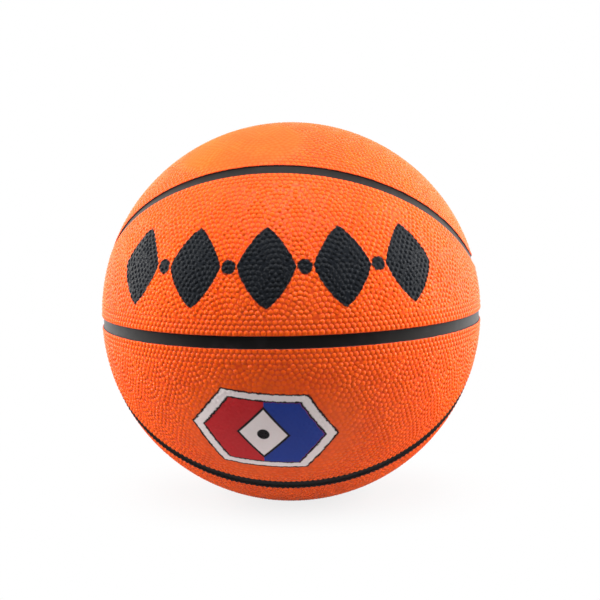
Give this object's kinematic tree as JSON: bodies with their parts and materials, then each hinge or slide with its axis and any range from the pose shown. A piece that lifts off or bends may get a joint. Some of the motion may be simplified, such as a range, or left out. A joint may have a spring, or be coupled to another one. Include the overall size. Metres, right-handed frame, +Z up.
{
  "type": "basketball",
  "caption": "Orange pebbled rubber basketball with recessed black ribs between its panels, a thread-wound bladder inside and a needle valve with a pull-out plug.",
  "frame": {"origin": "centre of the ball", "axes": "+Z up through the middle of the upper crown rib; the middle channel lies in the XY plane and the upright channel in the XZ plane; +Y points out of the valve at the back, so -Y is the printed front"},
  "size_m": [0.2408, 0.2407, 0.2408],
  "materials": {
    "orange_rubber": "pebbled, semi-matte",
    "black_rubber": "smooth satin",
    "carcass_rubber": "matte",
    "butyl_rubber": "smooth satin",
    "nylon_thread": "wound thread",
    "valve_rubber": "matte",
    "plug_rubber": "matte"
  },
  "bodies": {
    "ball": {"bladder": "butyl_rubber", "nylon_winding": "nylon_thread", "carcass": "carcass_rubber", "valve_boot": "valve_rubber", "centre_panel_front_upper": "orange_rubber", "centre_panel_front_lower": "orange_rubber", "centre_panel_back_upper": "orange_rubber", "centre_panel_back_lower": "orange_rubber", "crown_panel_front_upper": "orange_rubber", "crown_panel_front_lower": "orange_rubber", "crown_panel_back_upper": "orange_rubber", "crown_panel_back_lower": "orange_rubber", "centre_rib": "black_rubber", "loop_rib_upper": "black_rubber", "loop_rib_lower": "black_rubber", "crown_rib_upper": "black_rubber", "crown_rib_lower": "black_rubber", "side_rib_right_upper": "black_rubber", "side_rib_left_upper": "black_rubber", "side_rib_left_lower": "black_rubber", "side_rib_right_lower": "black_rubber"},
    "plug": {"valve_plug": "plug_rubber"}
  },
  "joints": [
    {"name": "plug_pull", "type": "slide", "parent": "ball", "child": "plug", "axis": [0, 1, 0], "range_m": [0, 0.03]}
  ]
}
